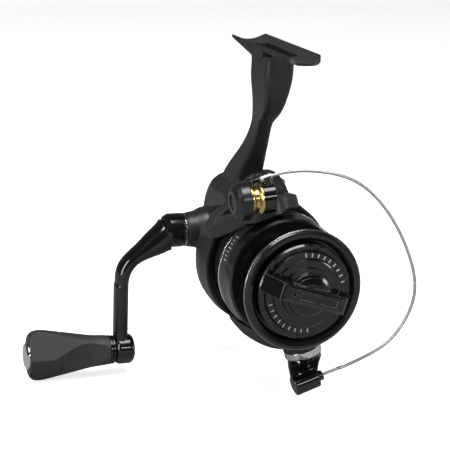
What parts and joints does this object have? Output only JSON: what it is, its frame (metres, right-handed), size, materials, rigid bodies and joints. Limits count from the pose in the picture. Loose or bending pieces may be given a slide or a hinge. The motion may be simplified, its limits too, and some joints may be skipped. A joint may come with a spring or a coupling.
{
  "type": "spinning fishing reel",
  "caption": "Fixed-spool fishing reel with saddle foot, cranked handle, two-arm rotor with wire bail, lipped spool and front drag knob.",
  "frame": {"origin": "middle of the foot's saddle, in the plane of its long edges", "axes": "+Z towards the rod, -Y towards the rod tip and the spool, -X towards the handle"},
  "size_m": [0.1265, 0.1045, 0.1313],
  "materials": {
    "satin_black": "satin dark grey moulding",
    "gloss_black": "gloss black",
    "rubber_grip": "soft touch",
    "bright_chrome": "polished",
    "steel": "machined",
    "dark_metal": "satin black coated metal",
    "gold_brass": "gold coated",
    "brass": "machined",
    "zinc": "die cast",
    "grey_plastic": "bushing plastic",
    "felt": "fibre washer"
  },
  "bodies": {
    "body": {"body": "satin_black", "side_cover": "satin_black", "side_cover_screws": "steel", "rear_cap": "gloss_black", "handle_collar": "gloss_black", "drive_bearings": "steel", "pinion_bearing": "steel", "pinion_bushing": "grey_plastic", "clutch_housing": "zinc", "clutch_rollers": "steel", "clutch_retainer": "steel", "clutch_screws": "steel", "guide_rod": "steel", "oscillation_axle": "steel"},
    "crank": {"drive_shaft": "zinc", "drive_gear": "zinc", "oscillation_pinion": "brass", "handle_shank": "steel", "screw_cap": "gloss_black", "joint_ring": "bright_chrome", "handle_arm": "gloss_black", "knob_spindle": "steel", "knob_screw": "steel", "knob_collar": "gloss_black"},
    "grip": {"knob": "rubber_grip", "knob_bushings": "grey_plastic", "knob_cap": "bright_chrome"},
    "cam": {"oscillation_gear": "zinc"},
    "rotor": {"pinion": "brass", "clutch_sleeve": "steel", "rotor": "satin_black", "rotor_nut": "steel", "arm_covers": "satin_black", "bail_spring": "steel", "pivot_screws": "bright_chrome"},
    "bail": {"bail_arm": "dark_metal", "roller_bushing": "grey_plastic", "wire_socket": "gloss_black", "roller_screw": "dark_metal", "bail_wire": "steel", "wire_holder": "gloss_black", "holder_ring": "bright_chrome"},
    "roller": {"line_roller": "gold_brass"},
    "shaft": {"main_shaft": "steel", "slider": "zinc", "click_gear": "grey_plastic", "metal_washers": "steel"},
    "spool": {"spool": "dark_metal", "spool_lip": "bright_chrome", "skirt_ring": "bright_chrome", "spool_bushing": "grey_plastic", "clicker": "grey_plastic", "friction_washers": "felt", "washer_clip": "steel"},
    "drag_plate": {"pressure_plate": "steel", "drag_spring": "steel"},
    "drag_knob": {"drag_nut": "steel", "drag_knob": "gloss_black", "dial_ring": "gloss_black", "drag_grip": "gloss_black"}
  },
  "joints": [
    {"name": "crank_spin", "type": "hinge", "parent": "body", "child": "crank", "pos_m": [0, 0.0308, -0.0752], "axis": [1, 0, 0], "continuous": true},
    {"name": "rotor_spin", "type": "hinge", "parent": "body", "child": "rotor", "pos_m": [0, 0.0035, -0.0812], "axis": [0, 1, 0], "continuous": true},
    {"name": "cam_spin", "type": "hinge", "parent": "body", "child": "cam", "pos_m": [-0.0059, 0.043, -0.0834], "axis": [1, 0, 0], "continuous": true},
    {"name": "knob_spin", "type": "hinge", "parent": "crank", "child": "grip", "pos_m": [-0.067, 0.0308, -0.1215], "axis": [1, 0, 0], "continuous": true},
    {"name": "bail_flip", "type": "hinge", "parent": "rotor", "child": "bail", "pos_m": [0, -0.0145, -0.0812], "axis": [0.309, 0, -0.9511], "range_deg": [0, 105]},
    {"name": "roller_spin", "type": "hinge", "parent": "bail", "child": "roller", "pos_m": [-0.01769, -0.0285, -0.04941], "axis": [0.9956, 0, 0.094], "continuous": true},
    {"name": "spool_stroke", "type": "slide", "parent": "body", "child": "shaft", "axis": [0, 1, 0], "range_m": [0, 0.012]},
    {"name": "drag_slip", "type": "hinge", "parent": "shaft", "child": "spool", "pos_m": [0, -0.0265, -0.0812], "axis": [0, 1, 0], "continuous": true},
    {"name": "drag_lift", "type": "slide", "parent": "shaft", "child": "drag_plate", "axis": [0, -1, 0], "range_m": [0, 0.001]},
    {"name": "drag_turn", "type": "hinge", "parent": "drag_plate", "child": "drag_knob", "pos_m": [0, -0.0365, -0.0812], "axis": [0, -1, 0], "range_deg": [0, 720]}
  ],
  "couplings": [
    {"joint": "rotor_spin", "follows": "crank_spin", "ratio": 5},
    {"joint": "cam_spin", "follows": "crank_spin", "ratio": -0.5},
    {"joint": "drag_turn", "follows": "drag_lift", "rad_per_m": 12566}
  ]
}
